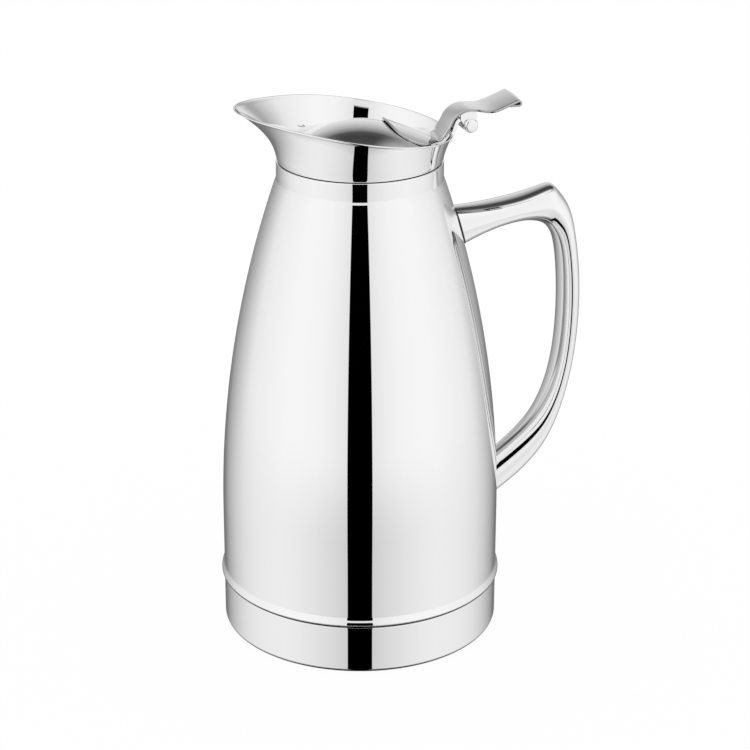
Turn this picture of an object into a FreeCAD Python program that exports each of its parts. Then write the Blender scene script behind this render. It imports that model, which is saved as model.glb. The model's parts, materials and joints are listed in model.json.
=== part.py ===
import FreeCAD, Part

import math
import os

from FreeCAD import Placement, Rotation, Vector

# Insulated stainless jug with a thumb-lift lid, in millimetres.
# The origin is the middle of the standing ring: +Z up, spout towards -X, handle towards +X.

# Body shell and base
BODY_R = 65.0
SHELL_WALL = 0.8
STRAIGHT_TOP_Z = 56.0
NECK_R = 37.9
SHOULDER_Z = 219.0
NECK_TOP_Z = 226.9
BASE_H = 22.7
BASE_EDGE_R = 1.6
BASE_WALL = 0.8
STAND_RING_W = 11.0
RECESS_H = 2.5
BEAD_H = 5.8
BEAD_PROUD = 1.4
BEAD_NOSE_H = 1.6
BEAD_EDGE_R = 0.5
SPIGOT_H = 9.0
FIT = 0.05

# Vacuum closure under the liner
CLOSURE_H = 6.0
CLOSURE_WALL = 0.8
DIMPLE_R = 7.0
DIMPLE_H = 1.6
PORT_R = 1.2
SEAL_H = 1.2
GETTER_R = 5.0
GETTER_H = 2.4
GETTER_OFFSET = 30.0

# Liner
VACUUM_GAP = 4.0
LINER_WALL = 0.6
LINER_FLOOR_Z = 28.0
LINER_SEAM_Z = 90.0
LINER_RIM_H = 6.0
LINER_CORNER_R = 4.0
FLANGE_DROP = 5.6

# Spout collar
GROOVE = 0.7
COLLAR_WALL = 0.8
COLLAR_INSET = 0.3
BACK_FLARE = 3.8
SIDE_FLARE = 4.0
FLARE_CURVE = 1.4
BEAK = 12.0
BEAK_SHARPNESS = 14
BEAK_LIFT = 3
RIM_RISE = 17.1
RIM_TILT = 8.9
COLLAR_SECTIONS = 6
SECTION_POINTS = 36

# Lid
LID_GAP = 1.25
LID_RAISE = 3.2
LID_WALL = 0.8
LID_SKIRT = 3.4
DOME_R = 51.3
PAN_WALL = 0.6
PAN_RIM_H = 2.6

# Thumb lever, a bent strap that ends in a broad leaf on the dome
STRAP_T = 1.0
STRAP_W = 14.4
TAB_W = 21.0
TAB_FLARE_START = 2.5
TAB_FLARE_LEN = 9.0
LEAF_LEN = 21.4
LEAF_NOSE_LEN = 12.0
LEAF_HALF_W = 14.4
LEAF_NOSE = 0.45
LEAF_CHEEK = 0.6
LEAF_MARGIN = 0.6
LEAF_SLOPE = 22.5
LEAF_BEND_R = 2.2
LEAF_BEND_OUT = 1.3
CREASE_LOW = (-11.4, -2.6)
CREASE_HIGH = (-10.1, -0.6)
HUMP = (-5.7, 8.1)
HUMP_R = 9.8
VALLEY = (9.8, 6.2)
VALLEY_R = 16.0
TAB_ANGLE = 21.2
TAB_LEN = 12.0
CURL_R = 1.9
CURL_TURN = 101.0
CURL_TAIL = 2.5

# Hinge
PIN_BACK = 8.1
PIN_LIFT = 2.5
PIN_R = 2.0
PIN_HEAD_R = 2.9
PIN_HEAD_H = 1.8
PIN_CHAMFER = 0.5
RUNNING_FIT = 0.05
YOKE_T = 1.2
YOKE_FRONT = 4.7
YOKE_REAR = 2.9
YOKE_LIP = 1.1
EAR_R = 3.0
EAR_INSET = 0.2
EAR_REACH = 10.0
SIDE_PLAY = 0.35
BRACKET_T = 1.6
BRACKET_FOOT_DROP = 4.8
BRACKET_BEND_R = 2.5
BRACKET_CLEAR = 0.4
EYE_R = 3.4

# Hollow handle, an oval tube: its outline in the plane of the spout at each section, outside then inside
HANDLE_SECTIONS = (
    ((30.0, 200.1), (30.0, 172.3)), ((47.0, 200.4), (46.0, 181.6)), ((60.5, 200.8), (60.0, 188.6)),
    ((76.8, 203.3), (75.5, 192.0)), ((85.2, 205.7), (83.6, 191.0)), ((90.4, 207.3), (87.5, 189.4)),
    ((92.4, 207.3), (89.1, 188.2)), ((93.6, 206.3), (90.3, 187.2)), ((97.2, 202.0), (92.0, 185.0)),
    ((100.6, 196.8), (93.8, 182.0)), ((103.3, 186.6), (95.9, 175.3)),
    ((106.6, 163.9), (97.4, 161.0)), ((106.9, 139.8), (97.9, 140.1)), ((103.9, 112.4), (96.0, 117.2)),
    ((96.6, 86.6), (89.9, 98.4)), ((86.4, 68.9), (79.5, 84.7)), ((68.0, 54.9), (61.2, 71.0)),
    ((47.0, 43.2), (45.2, 59.2)))
HANDLE_WALL = 1.0
HANDLE_PEAK_W = 20.0
HANDLE_FOOT_W = 16.0
OVAL_FULLNESS = 0.62

# Values that follow from the sizes above
TAPER_RISE = SHOULDER_Z - STRAIGHT_TOP_Z
TAPER_IN = BODY_R - NECK_R
TAPER_R = (TAPER_RISE ** 2 + TAPER_IN ** 2) / (2.0 * TAPER_IN)
SPIGOT_R = BODY_R - BASE_WALL - FIT
SPIGOT_BOTTOM_Z = BASE_H - SPIGOT_H
SHELL_IN_NECK_R = NECK_R - SHELL_WALL
LINER_INSET = SHELL_WALL + VACUUM_GAP
LINER_NECK_R = NECK_R - LINER_INSET
FLANGE_Z = NECK_TOP_Z - FLANGE_DROP
SEAT_Z = FLANGE_Z + LINER_WALL
COLLAR_Z = NECK_TOP_Z + GROOVE
COLLAR_R = NECK_R - COLLAR_INSET
THROAT_R = SHELL_IN_NECK_R - FIT - COLLAR_WALL
RIM_SLOPE = math.tan(math.radians(RIM_TILT))
RIM_BACK_R = COLLAR_R + BACK_FLARE
LID_R = THROAT_R - LID_GAP
LID_Z = NECK_TOP_Z + LID_RAISE
DOME_DROP = math.sqrt(DOME_R ** 2 - LID_R ** 2)
LEAF_END = LID_R - LEAF_MARGIN
PIN_X = RIM_BACK_R + PIN_BACK
PIN_Z = COLLAR_Z + RIM_RISE - RIM_SLOPE * RIM_BACK_R + PIN_LIFT
EAR_IN = STRAP_W / 2.0 - EAR_INSET
EAR_OUT = EAR_IN + YOKE_T
BRACKET_W = 2.0 * (EAR_IN - SIDE_PLAY)
ALL_ROUND = 360.0
Z_AXIS = Vector(0, 0, 1)
LID_LIFT = Vector(0, 0, LID_Z)
DOME_CENTRE = Vector(0, 0, LID_Z - DOME_DROP)
LEAF_DOWN = Vector(math.cos(math.radians(LEAF_SLOPE)), 0, -math.sin(math.radians(LEAF_SLOPE)))
FAR = 200.0


def xz(x, z, y=0.0):
    return Vector(x, y, z)


def line(a, b):
    return Part.LineSegment(a, b).toShape()


def chain(start, *steps):
    """Closed face in the XZ plane: each step is an end point, or a (via, end) pair for an arc."""
    edges = []
    here = xz(*start)
    for step in steps:
        if isinstance(step[0], tuple):
            via, end = xz(*step[0]), xz(*step[1])
            edges.append(Part.Arc(here, via, end).toShape())
        else:
            end = xz(*step)
            edges.append(line(here, end))
        here = end
    edges.append(line(here, xz(*start)))
    return Part.Face(Part.Wire(edges))


def spun(start, *steps):
    return chain(start, *steps).revolve(Vector(), Z_AXIS, ALL_ROUND)


def slab(face, half_width):
    """Prism of an XZ face, the same to both sides of the plane of the spout."""
    face = face.copy()
    face.translate(Vector(0, -half_width, 0))
    return face.extrude(Vector(0, 2.0 * half_width, 0))


def between(x0, x1, y0, y1, z0, z1):
    return Part.makeBox(x1 - x0, y1 - y0, z1 - z0, Vector(x0, y0, z0))


def rod(radius, y0, y1, x, z):
    return Part.makeCylinder(radius, y1 - y0, Vector(x, y0, z), Vector(0, 1, 0))


def export(name, shape):
    assert shape.isValid() and len(shape.Solids) == 1, name
    shape.Solids[0].exportStep("parts/%s.step" % name)


# Tapered body


def taper_r(z, inset=0.0):
    """Radius of the long taper at height z, on the surface that lies inset inside the outer one."""
    return BODY_R - TAPER_R + math.sqrt((TAPER_R - inset) ** 2 - (z - STRAIGHT_TOP_Z) ** 2)


def taper_z(radius, inset):
    """Height at which the taper, on that surface, has narrowed to a radius."""
    return STRAIGHT_TOP_Z + math.sqrt((TAPER_R - inset) ** 2 - (radius - BODY_R + TAPER_R) ** 2)


def taper_arc(z_from, z_to, inset):
    z_mid = (z_from + z_to) / 2.0
    return (taper_r(z_mid, inset), z_mid), (taper_r(z_to, inset), z_to)


def bead_sweep(inset):
    """Two arcs that lead from the nose of the bead up into the straight wall, on an inset surface."""
    low_z = BASE_H + BEAD_NOSE_H
    rise = BEAD_H - BEAD_NOSE_H
    bend_r = (BEAD_PROUD ** 2 + rise ** 2) / (4.0 * BEAD_PROUD)
    half = math.atan2(BEAD_PROUD, rise)
    out, up = bend_r * (1.0 - math.cos(half)), bend_r * math.sin(half)
    wall_r = BODY_R - inset
    nose_r = wall_r + BEAD_PROUD
    middle = (wall_r + BEAD_PROUD / 2.0, low_z + rise / 2.0)
    return (((nose_r - out, low_z + up), middle),
            ((wall_r + out, low_z + rise - up), (wall_r, low_z + rise)))


def outer_shell():
    nose_r = BODY_R + BEAD_PROUD
    low_z = BASE_H + BEAD_NOSE_H
    edge = BEAD_EDGE_R * (1.0 - math.sqrt(0.5))
    spigot_in = SPIGOT_R - SHELL_WALL
    nose, foot = bead_sweep(SHELL_WALL)
    neck_turn_z = taper_z(SHELL_IN_NECK_R, SHELL_WALL)
    return spun(
        (SPIGOT_R, SPIGOT_BOTTOM_Z), (SPIGOT_R, BASE_H), (nose_r - BEAD_EDGE_R, BASE_H),
        ((nose_r - edge, BASE_H + edge), (nose_r, BASE_H + BEAD_EDGE_R)), (nose_r, low_z),
        *bead_sweep(0.0), (BODY_R, STRAIGHT_TOP_Z), taper_arc(STRAIGHT_TOP_Z, SHOULDER_Z, 0.0),
        (NECK_R, NECK_TOP_Z), (SHELL_IN_NECK_R, NECK_TOP_Z), (SHELL_IN_NECK_R, neck_turn_z),
        taper_arc(neck_turn_z, STRAIGHT_TOP_Z, SHELL_WALL), foot[1], (foot[0], nose[1]),
        (nose[0], (nose_r - SHELL_WALL, low_z)), (spigot_in, BASE_H - SHELL_WALL),
        (spigot_in, SPIGOT_BOTTOM_Z))


def body_envelope():
    """Everything inside the outer skin of the body, for trimming what is welded to it."""
    return spun(
        (0, 0), (BODY_R, 0), (BODY_R, STRAIGHT_TOP_Z), taper_arc(STRAIGHT_TOP_Z, SHOULDER_Z, 0.0),
        (NECK_R, NECK_TOP_Z), (0, NECK_TOP_Z))


def base_cup():
    ring_out = BODY_R - BASE_EDGE_R
    ring_in = ring_out - STAND_RING_W
    inside_r = BODY_R - BASE_WALL
    mitre = BASE_WALL * (math.sqrt(2.0) - 1.0)
    corner = BASE_EDGE_R * (1.0 - math.sqrt(0.5))
    return spun(
        (0, RECESS_H), (ring_in - RECESS_H, RECESS_H), (ring_in, 0), (ring_out, 0),
        ((BODY_R - corner, corner), (BODY_R, BASE_EDGE_R)), (BODY_R, BASE_H), (inside_r, BASE_H),
        (inside_r, BASE_WALL), (ring_in + mitre, BASE_WALL),
        (ring_in + mitre - RECESS_H, RECESS_H + BASE_WALL), (0, RECESS_H + BASE_WALL))


# Vacuum closure, its sealed port and the getter

CLOSURE_R = SPIGOT_R - SHELL_WALL - FIT
CLOSURE_TOP_Z = SPIGOT_BOTTOM_Z + CLOSURE_H
CLOSURE_UNDER_Z = CLOSURE_TOP_Z - CLOSURE_WALL


def vacuum_closure():
    rim_in = CLOSURE_R - CLOSURE_WALL
    return spun(
        (PORT_R, CLOSURE_UNDER_Z + DIMPLE_H), (DIMPLE_R, CLOSURE_UNDER_Z + DIMPLE_H),
        (DIMPLE_R + DIMPLE_H, CLOSURE_UNDER_Z), (rim_in, CLOSURE_UNDER_Z), (rim_in, SPIGOT_BOTTOM_Z),
        (CLOSURE_R, SPIGOT_BOTTOM_Z), (CLOSURE_R, CLOSURE_TOP_Z), (DIMPLE_R + DIMPLE_H, CLOSURE_TOP_Z),
        (DIMPLE_R, CLOSURE_TOP_Z + DIMPLE_H), (PORT_R, CLOSURE_TOP_Z + DIMPLE_H))


def port_seal():
    plate_top = CLOSURE_UNDER_Z + DIMPLE_H
    stem_top = plate_top + CLOSURE_WALL / 2.0
    return spun(
        (0, plate_top - SEAL_H), (DIMPLE_R - SEAL_H, plate_top - SEAL_H),
        (DIMPLE_R - SEAL_H / 2.0, plate_top), (PORT_R - FIT, plate_top), (PORT_R - FIT, stem_top),
        (0, stem_top))


def getter():
    return Part.makeCylinder(GETTER_R, GETTER_H, Vector(GETTER_OFFSET, 0, CLOSURE_TOP_Z))


# Liner of two drawn halves, welded at a girth seam and to the shell at its neck flange


def liner_lower():
    outer_r = BODY_R - LINER_INSET
    inner_inset = LINER_INSET + LINER_WALL
    return spun(
        (outer_r - LINER_WALL, LINER_FLOOR_Z), (outer_r, LINER_FLOOR_Z), (outer_r, STRAIGHT_TOP_Z),
        taper_arc(STRAIGHT_TOP_Z, LINER_SEAM_Z, LINER_INSET),
        (taper_r(LINER_SEAM_Z, inner_inset), LINER_SEAM_Z),
        taper_arc(LINER_SEAM_Z, STRAIGHT_TOP_Z, inner_inset))


def liner_upper():
    inner_inset = LINER_INSET + LINER_WALL
    neck_in = LINER_NECK_R - LINER_WALL
    turn_z = SHOULDER_Z - VACUUM_GAP
    return spun(
        (taper_r(LINER_SEAM_Z, LINER_INSET), LINER_SEAM_Z),
        taper_arc(LINER_SEAM_Z, turn_z, LINER_INSET), (LINER_NECK_R, SHOULDER_Z),
        (LINER_NECK_R, FLANGE_Z), (SHELL_IN_NECK_R - FIT, FLANGE_Z), (SHELL_IN_NECK_R - FIT, SEAT_Z),
        (neck_in, SEAT_Z), (neck_in, SHOULDER_Z), (taper_r(turn_z, inner_inset), turn_z),
        taper_arc(turn_z, LINER_SEAM_Z, inner_inset))


def liner_bottom():
    rim_r = BODY_R - LINER_INSET - LINER_WALL - FIT
    corner = LINER_CORNER_R * (1.0 - math.sqrt(0.5))
    inner_corner_r = LINER_CORNER_R - LINER_WALL
    inner_corner = inner_corner_r * (1.0 - math.sqrt(0.5))
    floor_z = LINER_FLOOR_Z + LINER_WALL
    rim_in = rim_r - LINER_WALL
    return spun(
        (0, LINER_FLOOR_Z), (rim_r - LINER_CORNER_R, LINER_FLOOR_Z),
        ((rim_r - corner, LINER_FLOOR_Z + corner), (rim_r, LINER_FLOOR_Z + LINER_CORNER_R)),
        (rim_r, LINER_FLOOR_Z + LINER_RIM_H), (rim_in, LINER_FLOOR_Z + LINER_RIM_H),
        (rim_in, floor_z + inner_corner_r),
        ((rim_in - inner_corner, floor_z + inner_corner), (rim_in - inner_corner_r, floor_z)),
        (0, floor_z))


# Spout collar: a flared wall whose front is drawn out into the beak, cut off by a tilted rim plane


def collar_point(level, angle, inset):
    """Point of the collar wall: level 0 is its foot, level 1 the rim, angle pi the spout."""
    towards_spout = (1.0 - math.cos(angle)) / 2.0
    radius = COLLAR_R + (BACK_FLARE + SIDE_FLARE * towards_spout) * max(level, 0.0) ** FLARE_CURVE
    radius += BEAK * towards_spout ** BEAK_SHARPNESS * level ** BEAK_LIFT
    x = (radius - inset) * math.cos(angle)
    y = (radius - inset) * math.sin(angle)
    return Vector(x, y, COLLAR_Z + level * (RIM_RISE - RIM_SLOPE * x))


def collar_loft(low, high, inset):
    wires = []
    for step in range(COLLAR_SECTIONS + 1):
        level = low + (high - low) * step / COLLAR_SECTIONS
        angles = [2.0 * math.pi * k / SECTION_POINTS for k in range(SECTION_POINTS)]
        points = [collar_point(level, angle, inset) for angle in angles]
        curve = Part.BSplineCurve()
        curve.interpolate(points, PeriodicFlag=True)
        wires.append(Part.Wire(curve.toShape()))
    return Part.makeLoft(wires, True, False)


def spout_collar():
    past_foot, past_rim = -0.2, 1.1
    wall = collar_loft(0.0, 1.0, 0.0).cut(collar_loft(past_foot, past_rim, COLLAR_WALL))
    skirt_r = SHELL_IN_NECK_R - FIT
    overlap_z = COLLAR_Z + COLLAR_WALL
    skirt = spun(
        (LINER_NECK_R, SEAT_Z), (skirt_r, SEAT_Z), (skirt_r, overlap_z), (THROAT_R, overlap_z),
        (THROAT_R, SEAT_Z + COLLAR_WALL), (LINER_NECK_R, SEAT_Z + COLLAR_WALL))
    return wall.fuse(skirt)


# Lid: a domed top with a short skirt, closed below by a pan


def lid_dome():
    inner_r = LID_R - LID_WALL
    inner_dome = DOME_R - LID_WALL
    inner_edge = math.sqrt(inner_dome ** 2 - inner_r ** 2) - DOME_DROP
    half_r = LID_R / 2.0

    def dome_z(radius, ball):
        return math.sqrt(ball ** 2 - radius ** 2) - DOME_DROP

    shape = spun(
        (0, DOME_R - DOME_DROP), ((half_r, dome_z(half_r, DOME_R)), (LID_R, 0)), (LID_R, -LID_SKIRT),
        (inner_r, -LID_SKIRT), (inner_r, inner_edge),
        ((half_r, dome_z(half_r, inner_dome)), (0, inner_dome - DOME_DROP)))
    shape.translate(LID_LIFT)
    return shape


def lid_pan():
    rim_r = LID_R - LID_WALL - FIT
    rim_in = rim_r - PAN_WALL
    floor_z = PAN_WALL - LID_SKIRT
    shape = spun(
        (0, -LID_SKIRT), (rim_r, -LID_SKIRT), (rim_r, PAN_RIM_H - LID_SKIRT),
        (rim_in, PAN_RIM_H - LID_SKIRT), (rim_in, floor_z), (0, floor_z))
    shape.translate(LID_LIFT)
    return shape


# Bent strips: a path of straight runs and round corners, moved sideways by an offset


def unit(a, b):
    dx, dz = b[0] - a[0], b[1] - a[1]
    length = math.hypot(dx, dz)
    return dx / length, dz / length


def moved_path(points, offset):
    """Corners of the path that runs beside points, offset to its left."""
    runs = [unit(a, b) for a, b in zip(points, points[1:])]
    out = [(points[0][0] - runs[0][1] * offset, points[0][1] + runs[0][0] * offset)]
    for corner, before, after in zip(points[1:-1], runs, runs[1:]):
        scale = offset / (1.0 + before[0] * after[0] + before[1] * after[1])
        side_x, side_z = -(before[1] + after[1]), before[0] + after[0]
        out.append((corner[0] + side_x * scale, corner[1] + side_z * scale))
    out.append((points[-1][0] - runs[-1][1] * offset, points[-1][1] + runs[-1][0] * offset))
    return out


def path_edges(points, radii, offset):
    """Edges of the moved path, with each corner rounded about the same centre as on the path itself."""
    corners = moved_path(points, offset)
    edges = []
    here = xz(*corners[0])
    for index, radius in enumerate(radii, start=1):
        before = unit(corners[index - 1], corners[index])
        after = unit(corners[index], corners[index + 1])
        turn = math.atan2(
            before[0] * after[1] - before[1] * after[0], before[0] * after[0] + before[1] * after[1])
        bend = radius - offset * math.copysign(1.0, turn) if radius > 0 else 0.0
        corner = corners[index]
        if bend > 0:
            run = bend * math.tan(abs(turn) / 2.0)
            start = xz(corner[0] - before[0] * run, corner[1] - before[1] * run)
            end = xz(corner[0] + after[0] * run, corner[1] + after[1] * run)
            inward = bend * (1.0 / math.cos(turn / 2.0) - 1.0)
            across = unit((0, 0), (after[0] - before[0], after[1] - before[1]))
            via = xz(corner[0] + across[0] * inward, corner[1] + across[1] * inward)
            if here.distanceToPoint(start) > FIT:
                edges.append(line(here, start))
            edges.append(Part.Arc(start, via, end).toShape())
        else:
            end = xz(*corner)
            edges.append(line(here, end))
        here = end
    edges.append(line(here, xz(*corners[-1])))
    return edges


def strip(points, radii, left, right):
    """Face between two offsets of one path."""
    one = path_edges(points, radii, left)
    two = path_edges(points, radii, right)
    one_start, one_end = one[0].firstVertex().Point, one[-1].lastVertex().Point
    two_start, two_end = two[0].firstVertex().Point, two[-1].lastVertex().Point
    ends = [line(one_end, two_end), line(two_start, one_start)]
    return Part.Face(Part.Wire(Part.__sortEdges__(one + two + ends)))


def from_pin(offset):
    return PIN_X + offset[0], PIN_Z + offset[1]


def lever_path():
    """Upper surface of the lever from the leaf to the curl, with the radius at each corner."""
    outward = Vector(-LEAF_DOWN.z, 0, LEAF_DOWN.x)
    crown = DOME_CENTRE + outward * (DOME_R + STRAP_T)
    end = crown + LEAF_DOWN * ((LEAF_END - crown.x) / LEAF_DOWN.x)
    start, bend = end - LEAF_DOWN * STRAP_T, end + LEAF_DOWN * LEAF_BEND_OUT
    points = [(start.x, start.z), (bend.x, bend.z)]
    points += [from_pin(corner) for corner in (CREASE_LOW, CREASE_HIGH, HUMP, VALLEY)]
    radii = [LEAF_BEND_R, 0.0, 0.0, HUMP_R, VALLEY_R]
    turn = math.radians(CURL_TURN)
    half_side = CURL_R * math.tan(turn / 2.0)
    heading = math.radians(TAB_ANGLE)
    for length in (TAB_LEN + half_side, 2.0 * half_side, half_side + CURL_TAIL):
        last = points[-1]
        points.append((last[0] + length * math.cos(heading), last[1] + length * math.sin(heading)))
        heading -= turn
    return points, radii + [CURL_R, CURL_R]


def strap_plan():
    """Plan outline of the strap: narrow over the hinge, wider at the thumb tab."""
    narrow, wide = STRAP_W / 2.0, TAB_W / 2.0
    flare_a = PIN_X + TAB_FLARE_START
    flare_b = flare_a + TAB_FLARE_LEN
    third = TAB_FLARE_LEN / 3.0
    sides = []
    for side in (1.0, -1.0):
        flare = Part.BezierCurve()
        flare.setPoles([
            Vector(flare_a, side * narrow, 0), Vector(flare_a + third, side * narrow, 0),
            Vector(flare_b - third, side * wide, 0), Vector(flare_b, side * wide, 0)])
        sides += [
            line(Vector(0, side * narrow, 0), Vector(flare_a, side * narrow, 0)), flare.toShape(),
            line(Vector(flare_b, side * wide, 0), Vector(FAR, side * wide, 0))]
    ends = [line(Vector(x, -half, 0), Vector(x, half, 0)) for x, half in ((0, narrow), (FAR, wide))]
    return Part.Face(Part.Wire(Part.__sortEdges__(sides + ends))).extrude(Vector(0, 0, 2.0 * FAR))


def leaf():
    """Broad tongue, straight along the lever and bent across it to sit on the dome."""
    foot = DOME_CENTRE - LEAF_DOWN * FAR
    skin = Part.makeCylinder(DOME_R + STRAP_T, 2.0 * FAR, foot, LEAF_DOWN)
    skin = skin.cut(Part.makeCylinder(DOME_R, 2.0 * FAR, foot, LEAF_DOWN))
    tip_x = LEAF_END - LEAF_LEN
    waist_x = tip_x + LEAF_NOSE_LEN
    front_x = tip_x + LEAF_NOSE_LEN * (1.0 - math.sqrt(0.5))
    shoulder_x = waist_x + (LEAF_END - waist_x) * LEAF_CHEEK
    narrow = STRAP_W / 2.0
    between_w = (LEAF_HALF_W + narrow) / 2.0
    tip = Vector(tip_x, 0, 0)
    edges = []
    for side in (1.0, -1.0):
        waist = Vector(waist_x, side * LEAF_HALF_W, 0)
        end = Vector(LEAF_END, side * narrow, 0)
        nose = Part.BezierCurve()
        nose.setPoles([
            tip, Vector(tip_x, side * LEAF_HALF_W * LEAF_NOSE, 0),
            Vector(front_x, side * LEAF_HALF_W, 0), waist])
        cheek = Part.BezierCurve()
        cheek.setPoles([
            waist, Vector(shoulder_x, side * LEAF_HALF_W, 0),
            Vector(shoulder_x, side * between_w, 0), end])
        edges += [nose.toShape(), cheek.toShape()]
    edges.append(line(Vector(LEAF_END, narrow, 0), Vector(LEAF_END, -narrow, 0)))
    plan = Part.Face(Part.Wire(Part.__sortEdges__(edges)))
    plan.translate(LID_LIFT)
    return skin.common(plan.extrude(Vector(0, 0, DOME_R)))


def thumb_lever():
    points, radii = lever_path()
    strap = slab(strip(points, radii, 0.0, -STRAP_T), TAB_W).common(strap_plan())
    return strap.fuse(leaf())


def hinge_yoke():
    """Saddle under the hump of the lever, with an ear on each side of the bracket's eye."""
    points, radii = lever_path()
    outside = slab(strip(points, radii, -STRAP_T, -STRAP_T - EAR_REACH), EAR_OUT)
    plate = slab(strip(points, radii, -STRAP_T, -STRAP_T - YOKE_T), EAR_OUT)
    front, rear = PIN_X - YOKE_FRONT, PIN_X + YOKE_REAR
    top_z = PIN_Z + HUMP[1]
    ear_face = chain(
        (front, top_z), (front, PIN_Z + EAR_R), (PIN_X - EAR_R, PIN_Z),
        ((PIN_X, PIN_Z - EAR_R), (PIN_X + EAR_R, PIN_Z)), (rear, PIN_Z + EAR_R), (rear, top_z))
    ears = slab(ear_face, EAR_OUT).cut(slab(ear_face, EAR_IN))
    window = between(front + YOKE_LIP, rear, -EAR_OUT, EAR_OUT, PIN_Z, top_z + EAR_R)
    yoke = outside.common(ears).fuse(plate.common(window))
    return yoke.cut(rod(PIN_R, -FAR, FAR, PIN_X, PIN_Z))


def hinge_pin():
    profile = chain(
        (0, -EAR_OUT - PIN_HEAD_H), (PIN_HEAD_R - PIN_CHAMFER, -EAR_OUT - PIN_HEAD_H),
        (PIN_HEAD_R, -EAR_OUT - PIN_HEAD_H + PIN_CHAMFER), (PIN_HEAD_R, -EAR_OUT), (PIN_R, -EAR_OUT),
        (PIN_R, EAR_OUT), (PIN_HEAD_R, EAR_OUT), (PIN_HEAD_R, EAR_OUT + PIN_HEAD_H - PIN_CHAMFER),
        (PIN_HEAD_R - PIN_CHAMFER, EAR_OUT + PIN_HEAD_H), (0, EAR_OUT + PIN_HEAD_H))
    pin = profile.revolve(Vector(), Z_AXIS, ALL_ROUND)
    pin.Placement = Placement(Vector(PIN_X, 0, PIN_Z), Rotation(Vector(1, 0, 0), 90))
    return pin


def hinge_bracket():
    """Strap on the back of the collar that runs on up its slope, then over to an eye round the pin."""
    half_t, half_w = BRACKET_T / 2.0, BRACKET_W / 2.0
    rim_z = PIN_Z - PIN_LIFT
    lean = BACK_FLARE / (rim_z - COLLAR_Z)
    wall_to_middle = half_t * math.hypot(1.0, lean)
    foot_z = rim_z - BRACKET_FOOT_DROP
    knee_z = PIN_Z + EYE_R - half_t

    def middle_x(z):
        return COLLAR_R + lean * (z - COLLAR_Z) + wall_to_middle

    points = [(middle_x(foot_z), foot_z), (middle_x(knee_z), knee_z), (PIN_X, knee_z)]
    strap = slab(strip(points, [BRACKET_BEND_R], half_t, -half_t), half_w)
    seat = slab(strip(points, [BRACKET_BEND_R], half_t + COLLAR_WALL, half_t), half_w)
    seat = seat.common(between(0, FAR, -FAR, FAR, 0, rim_z - BRACKET_CLEAR))
    eye = rod(EYE_R, -half_w, half_w, PIN_X, PIN_Z)
    bracket = strap.fuse(seat).fuse(eye).cut(collar_loft(0.0, 1.0, 0.0))
    return bracket.cut(rod(PIN_R + RUNNING_FIT, -FAR, FAR, PIN_X, PIN_Z))


# Handle: an oval tube of two pressed halves, welded on the middle plane and to the shell


def oval_poles(outside, inside, side, inset):
    """Poles of a half oval on one side of the chord between two points of the handle's outline."""
    reach = math.dist(outside, inside) / 2.0 - inset
    middle = ((outside[0] + inside[0]) / 2.0, (outside[1] + inside[1]) / 2.0)
    ahead = unit(inside, outside)
    foot_z, peak_z = HANDLE_SECTIONS[-1][0][1], max(pair[0][1] for pair in HANDLE_SECTIONS)
    share = (middle[1] - foot_z) / (peak_z - foot_z)
    half_width = (HANDLE_FOOT_W + (HANDLE_PEAK_W - HANDLE_FOOT_W) * share) / 2.0 - inset
    full = OVAL_FULLNESS
    shape = ((1, 0), (1, full), (full, 1), (0, 1), (-full, 1), (-1, full), (-1, 0))
    return [xz(middle[0] + ahead[0] * reach * out, middle[1] + ahead[1] * reach * out,
               side * half_width * across) for out, across in shape]


def half_tube(side, inset):
    """Solid within one half of the tube, drawn in by inset."""
    rows = [oval_poles(outside, inside, side, inset) for outside, inside in HANDLE_SECTIONS]
    spans = len(rows) - 3
    surface = Part.BSplineSurface()
    surface.buildFromPolesMultsKnots(
        rows, [4] + [1] * (spans - 1) + [4], [4, 3, 4], list(range(spans + 1)), [0, 1, 2],
        False, False, 3, 3)
    skin = surface.toShape()
    outlines = [e for e in skin.Edges if e.BoundBox.YLength < FIT]
    ovals = [e for e in skin.Edges if e.BoundBox.YLength > FIT]
    chords = [line(row[0], row[-1]) for row in (rows[0], rows[-1])]
    faces = [skin, Part.Face(Part.Wire(Part.__sortEdges__(outlines + chords)))]
    for chord in chords:
        end = min(ovals, key=lambda e: e.CenterOfMass.distanceToPoint(chord.CenterOfMass))
        faces.append(Part.Face(Part.Wire(Part.__sortEdges__([end, chord]))))
    shell = Part.Shell(faces)
    shell.sewShape()
    solid = Part.Solid(shell)
    if solid.Volume < 0:
        solid.reverse()
    return solid


def handle_half(side):
    """One pressed half of the handle, on the side of the middle plane that side gives."""
    return half_tube(side, 0.0).cut(half_tube(side, HANDLE_WALL)).cut(body_envelope())


def main():
    os.makedirs("parts", exist_ok=True)
    export("outer_shell", outer_shell())
    export("base_cup", base_cup())
    export("vacuum_closure", vacuum_closure())
    export("port_seal", port_seal())
    export("getter", getter())
    export("liner_lower", liner_lower())
    export("liner_upper", liner_upper())
    export("liner_bottom", liner_bottom())
    export("spout_collar", spout_collar())
    export("lid_dome", lid_dome())
    export("lid_pan", lid_pan())
    export("thumb_lever", thumb_lever())
    export("hinge_yoke", hinge_yoke())
    export("hinge_pin", hinge_pin())
    export("hinge_bracket", hinge_bracket())
    export("handle_left", handle_half(-1.0))
    export("handle_right", handle_half(1.0))


main()
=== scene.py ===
import json
import math

import bpy
import bmesh
from bpy.props import FloatProperty, FloatVectorProperty, IntProperty, PointerProperty
from mathutils import Matrix, Vector
from mathutils.geometry import delaunay_2d_cdt


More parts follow.
